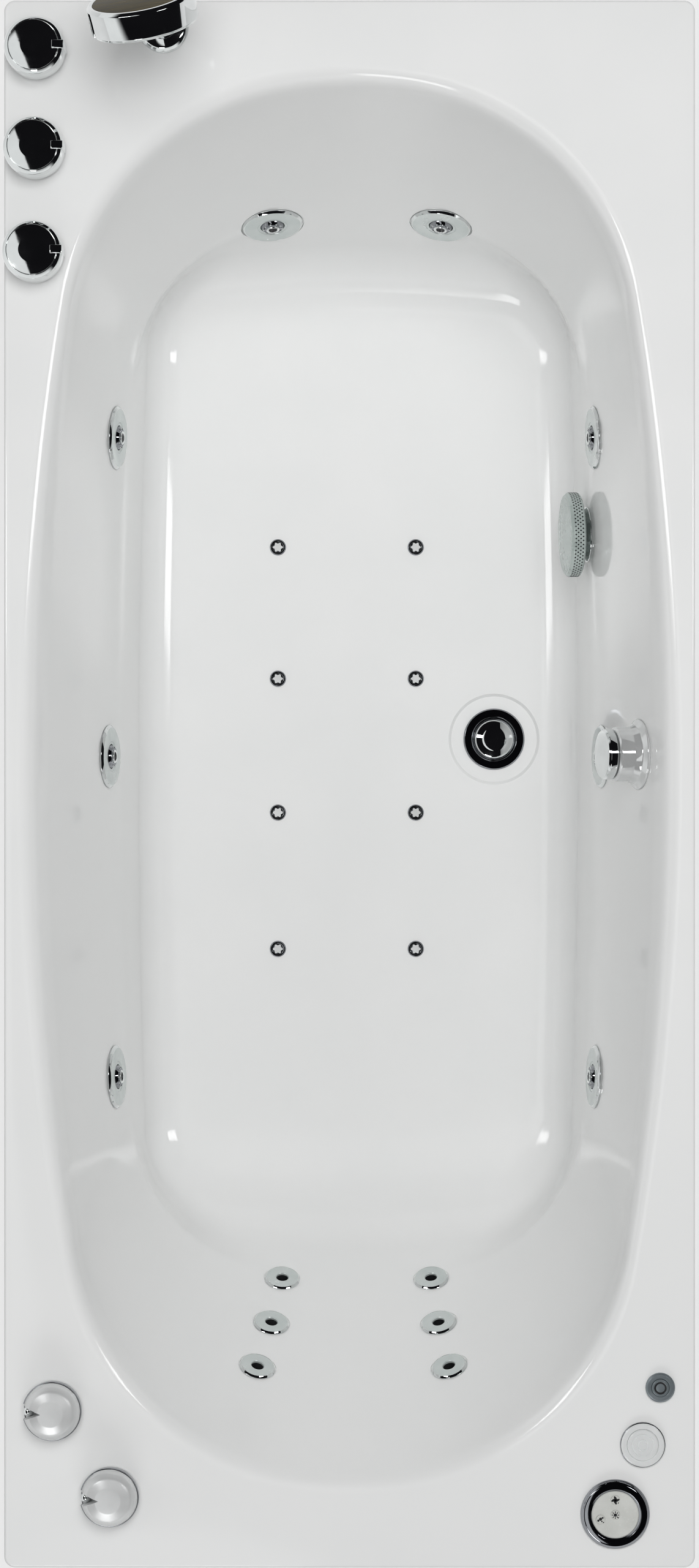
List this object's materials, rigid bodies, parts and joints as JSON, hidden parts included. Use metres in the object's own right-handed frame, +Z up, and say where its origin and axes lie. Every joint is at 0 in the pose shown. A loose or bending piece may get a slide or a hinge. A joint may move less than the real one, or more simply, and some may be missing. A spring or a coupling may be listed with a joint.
{
  "type": "jetted bathtub",
  "caption": "Rectangular acrylic jetted bath on a steel frame, with wall, back and floor jets, deck taps, hand shower, pop-up waste, pump, blower and control panel.",
  "frame": {"origin": "on the floor under the middle of the deck", "axes": "+Z up, +Y along the bath towards the taps and the hand shower, +X across it towards the waste and the control panel"},
  "size_m": [0.75, 1.7, 0.7653],
  "materials": {
    "white_acrylic": "gloss",
    "chrome": "polished",
    "dark_chrome": "polished",
    "pale_plastic": "satin",
    "key_plastic": "satin",
    "grey_plastic": "satin",
    "black_plastic": "satin",
    "white_pipe": "satin",
    "clear_tube": "gloss",
    "brass": "satin",
    "steel_tube": "satin",
    "zinc_steel": "satin",
    "foot_rubber": "matte",
    "board": "matte",
    "pump_grey": "satin"
  },
  "bodies": {
    "bath": {"adjustable_feet": "foot_rubber", "air_blower": "black_plastic", "air_jet_bodies": "black_plastic", "air_jet_caps": "chrome", "air_regulator_bodies": "black_plastic", "back_jet_bodies": "black_plastic", "back_jet_covers": "chrome", "button_bezels": "chrome", "control_box": "grey_plastic", "deck_back_nuts": "brass", "filler_pipes": "grey_plastic", "floor_air_pipes": "white_pipe", "floor_board": "board", "frame_fasteners": "zinc_steel", "jet_air_tubes": "clear_tube", "jet_bodies": "black_plastic", "jet_trim_rings": "chrome", "mains_gland": "black_plastic", "overflow_filler": "chrome", "overflow_hose": "grey_plastic", "overflow_housing": "black_plastic", "panel_bezel": "dark_chrome", "panel_face": "pale_plastic", "plug_cable": "black_plastic", "pump_motor": "pump_grey", "pump_plate": "steel_tube", "pump_wet_end": "black_plastic", "shower_holder": "chrome", "suction_body": "black_plastic", "suction_cover": "chrome", "suction_pipe": "white_pipe", "support_frame": "steel_tube", "tap_flanges": "chrome", "tap_valves": "brass", "tub_shell": "white_acrylic", "wall_lock_nuts": "grey_plastic", "waste_flange": "chrome", "waste_trap": "grey_plastic", "water_pipes": "white_pipe"},
    "jet_nozzle_1": {"jet_nozzle_1": "chrome"},
    "jet_nozzle_2": {"jet_nozzle_2": "chrome"},
    "jet_nozzle_3": {"jet_nozzle_3": "chrome"},
    "jet_nozzle_4": {"jet_nozzle_4": "chrome"},
    "jet_nozzle_5": {"jet_nozzle_5": "chrome"},
    "jet_nozzle_6": {"jet_nozzle_6": "chrome"},
    "jet_nozzle_7": {"jet_nozzle_7": "chrome"},
    "jet_nozzle_8": {"jet_nozzle_8": "chrome"},
    "diverter_knob": {"diverter_knob": "chrome"},
    "cold_tap_knob": {"cold_tap_knob": "chrome"},
    "hot_tap_knob": {"hot_tap_knob": "chrome"},
    "overflow_knob": {"overflow_knob": "chrome"},
    "drain_plug": {"drain_plug": "chrome"},
    "air_regulator_1": {"air_regulator_1": "chrome"},
    "air_regulator_2": {"air_regulator_2": "chrome"},
    "start_button": {"start_button": "chrome"},
    "light_button": {"light_button": "grey_plastic"},
    "panel_key_1": {"panel_key_1": "key_plastic"},
    "panel_key_2": {"panel_key_2": "key_plastic"},
    "panel_key_3": {"panel_key_3": "key_plastic"},
    "hand_shower": {"hand_shower": "chrome"}
  },
  "joints": [
    {"name": "jet_nozzle_1_swivel", "type": "hinge", "parent": "bath", "child": "jet_nozzle_1", "pos_m": [-0.28101, 0.40214, 0.34454], "axis": [0.0455, 0.999, 0], "range_deg": [-15, 15]},
    {"name": "jet_nozzle_2_swivel", "type": "hinge", "parent": "bath", "child": "jet_nozzle_2", "pos_m": [-0.28968, 0.032, 0.34446], "axis": [0.0014, 1, 0], "range_deg": [-15, 15]},
    {"name": "jet_nozzle_3_swivel", "type": "hinge", "parent": "bath", "child": "jet_nozzle_3", "pos_m": [-0.28195, -0.34013, 0.34454], "axis": [-0.043, 0.9991, 0], "range_deg": [-15, 15]},
    {"name": "jet_nozzle_4_swivel", "type": "hinge", "parent": "bath", "child": "jet_nozzle_4", "pos_m": [0.28101, 0.40214, 0.34454], "axis": [0.0455, -0.999, 0], "range_deg": [-15, 15]},
    {"name": "jet_nozzle_5_swivel", "type": "hinge", "parent": "bath", "child": "jet_nozzle_5", "pos_m": [0.28968, 0.032, 0.34446], "axis": [0.0014, -1, 0], "range_deg": [-15, 15]},
    {"name": "jet_nozzle_6_swivel", "type": "hinge", "parent": "bath", "child": "jet_nozzle_6", "pos_m": [0.28195, -0.34013, 0.34454], "axis": [-0.043, -0.9991, 0], "range_deg": [-15, 15]},
    {"name": "jet_nozzle_7_swivel", "type": "hinge", "parent": "bath", "child": "jet_nozzle_7", "pos_m": [-0.10039, 0.665, 0.27913], "axis": [0.991, 0.134, 0], "range_deg": [-15, 15]},
    {"name": "jet_nozzle_8_swivel", "type": "hinge", "parent": "bath", "child": "jet_nozzle_8", "pos_m": [0.10039, 0.665, 0.27913], "axis": [0.991, -0.134, 0], "range_deg": [-15, 15]},
    {"name": "diverter_knob_turn", "type": "hinge", "parent": "bath", "child": "diverter_knob", "pos_m": [-0.339, 0.794, 0.6], "axis": [0, 0, 1], "range_deg": [-45, 45]},
    {"name": "cold_tap_knob_turn", "type": "hinge", "parent": "bath", "child": "cold_tap_knob", "pos_m": [-0.34, 0.686, 0.6], "axis": [0, 0, 1], "range_deg": [0, 90]},
    {"name": "hot_tap_knob_turn", "type": "hinge", "parent": "bath", "child": "hot_tap_knob", "pos_m": [-0.341, 0.574, 0.6], "axis": [0, 0, 1], "range_deg": [0, 90]},
    {"name": "air_regulator_1_turn", "type": "hinge", "parent": "bath", "child": "air_regulator_1", "pos_m": [-0.321, -0.677, 0.6], "axis": [0, 0, 1], "range_deg": [0, 180]},
    {"name": "air_regulator_2_turn", "type": "hinge", "parent": "bath", "child": "air_regulator_2", "pos_m": [-0.259, -0.77, 0.6], "axis": [0, 0, 1], "range_deg": [0, 180]},
    {"name": "overflow_knob_turn", "type": "hinge", "parent": "bath", "child": "overflow_knob", "pos_m": [0.31973, 0.033, 0.495], "axis": [-0.9642, -0.0025, 0.2652], "range_deg": [0, 90]},
    {"name": "plug_lift", "type": "slide", "parent": "bath", "child": "drain_plug", "axis": [0, 0, 1], "range_m": [0, 0.01]},
    {"name": "start_button_press", "type": "slide", "parent": "bath", "child": "start_button", "axis": [0, 0, -1], "range_m": [0, 0.004], "stiffness_N_per_m": 400, "springref_m": -0.003},
    {"name": "light_button_press", "type": "slide", "parent": "bath", "child": "light_button", "axis": [0, 0, -1], "range_m": [0, 0.003], "stiffness_N_per_m": 300, "springref_m": -0.003},
    {"name": "panel_key_1_press", "type": "slide", "parent": "bath", "child": "panel_key_1", "axis": [0, 0, -1], "range_m": [0, 0.0008], "stiffness_N_per_m": 500, "springref_m": -0.001},
    {"name": "panel_key_2_press", "type": "slide", "parent": "bath", "child": "panel_key_2", "axis": [0, 0, -1], "range_m": [0, 0.0008], "stiffness_N_per_m": 500, "springref_m": -0.001},
    {"name": "panel_key_3_press", "type": "slide", "parent": "bath", "child": "panel_key_3", "axis": [0, 0, -1], "range_m": [0, 0.0008], "stiffness_N_per_m": 500, "springref_m": -0.001},
    {"name": "hand_shower_lift", "type": "slide", "parent": "bath", "child": "hand_shower", "axis": [0, 0, 1], "range_m": [0, 0.18]}
  ],
  "couplings": [
    {"joint": "plug_lift", "follows": "overflow_knob_turn", "m_per_rad": 0.006366}
  ]
}
